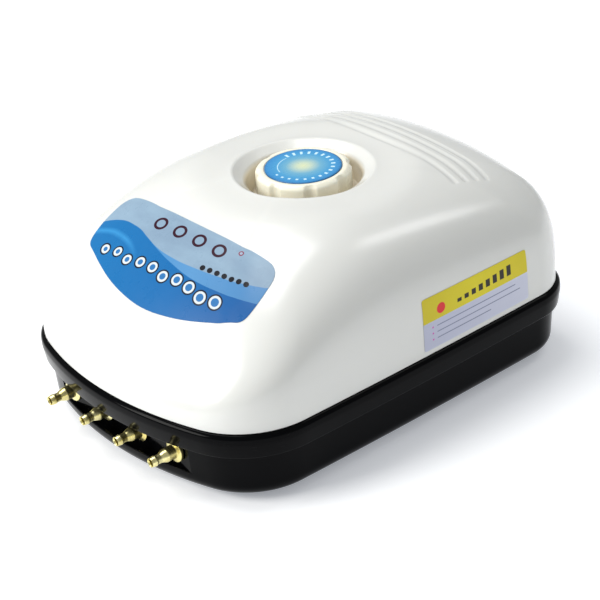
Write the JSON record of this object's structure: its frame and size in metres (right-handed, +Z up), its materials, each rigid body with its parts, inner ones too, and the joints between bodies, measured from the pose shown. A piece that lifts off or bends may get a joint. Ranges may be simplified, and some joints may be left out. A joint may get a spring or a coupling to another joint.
{
  "type": "air pump",
  "caption": "Mains diaphragm air pump with a domed cover, a fluted flow knob on top and a row of brass hose barbs on a recessed panel at the front of the base.",
  "frame": {"origin": "centre of the bounding box at the plane the four rubber feet stand on", "axes": "+Z up, -Y towards the hose barbs at the front, +X to the pump's side with the small label"},
  "size_m": [0.1436, 0.1908, 0.0868],
  "materials": {
    "gloss_white": "glossy moulded ABS",
    "gloss_black": "glossy moulded ABS",
    "rubber": "matt moulded rubber",
    "brass": "turned and lightly polished",
    "steel": "zinc plated",
    "iron": "stacked silicon steel laminations",
    "magnet": "sintered ferrite, matt",
    "copper": "enamelled copper wire, wound",
    "nylon": "natural nylon, satin",
    "silicone": "translucent silicone, satin",
    "felt": "pressed felt",
    "board": "green solder mask",
    "print_blue": "printed label film, silver blue over deep blue",
    "print_yellow": "printed label film, yellow band over a pale panel",
    "dial_blue": "printed dial disc, satin",
    "pot_grey": "moulded resin"
  },
  "bodies": {
    "housing": {"top_cover": "gloss_white", "base_tray": "gloss_black", "front_label": "print_blue", "side_label": "print_yellow", "air_manifold": "silicone", "filter_felt": "felt", "filter_cover": "gloss_black", "cord_gland": "rubber", "laminated_core": "iron", "core_screw_1": "steel", "core_screw_2": "steel", "coil_bobbin": "nylon", "coil_winding": "copper", "control_board": "board", "dial_pot": "pot_grey", "pot_nut": "steel", "outlet_barb_1": "brass", "outlet_nut_1": "brass", "rubber_foot_1": "rubber", "cover_screw_1": "steel", "outlet_barb_2": "brass", "outlet_nut_2": "brass", "rubber_foot_2": "rubber", "cover_screw_2": "steel", "outlet_barb_3": "brass", "outlet_nut_3": "brass", "rubber_foot_3": "rubber", "cover_screw_3": "steel", "outlet_barb_4": "brass", "outlet_nut_4": "brass", "rubber_foot_4": "rubber", "cover_screw_4": "steel", "pump_chamber_left": "nylon", "inlet_valve_left": "rubber", "outlet_valve_left": "rubber", "valve_cover_left": "nylon", "diaphragm_left": "rubber", "diaphragm_ring_left": "nylon", "pivot_pin_left": "steel", "air_hose_left": "silicone", "pump_chamber_right": "nylon", "inlet_valve_right": "rubber", "outlet_valve_right": "rubber", "valve_cover_right": "nylon", "diaphragm_right": "rubber", "diaphragm_ring_right": "nylon", "pivot_pin_right": "steel", "air_hose_right": "silicone"},
    "knob": {"control_knob": "gloss_white", "knob_dial": "dial_blue", "pot_shaft": "steel"},
    "arm_left": {"swing_arm_left": "steel", "arm_magnet_left": "magnet", "diaphragm_rivet_left": "steel", "pivot_bush_left": "rubber"},
    "arm_right": {"swing_arm_right": "steel", "arm_magnet_right": "magnet", "diaphragm_rivet_right": "steel", "pivot_bush_right": "rubber"}
  },
  "joints": [
    {"name": "knob_turn", "type": "hinge", "parent": "housing", "child": "knob", "pos_m": [0, 0.0124, 0.08], "axis": [0, 0, 1], "range_deg": [-150, 150]},
    {"name": "arm_left_swing", "type": "hinge", "parent": "housing", "child": "arm_left", "pos_m": [-0.03125, 0.0566, 0.036], "axis": [0, 0, 1], "range_deg": [-1, 1], "stiffness_Nm_per_rad": 1, "deforming": ["diaphragm_left"]},
    {"name": "arm_right_swing", "type": "hinge", "parent": "housing", "child": "arm_right", "pos_m": [0.03125, 0.0566, 0.036], "axis": [0, 0, 1], "range_deg": [-1, 1], "stiffness_Nm_per_rad": 1, "deforming": ["diaphragm_right"]}
  ],
  "couplings": [
    {"joint": "arm_right_swing", "follows": "arm_left_swing", "ratio": -1}
  ]
}
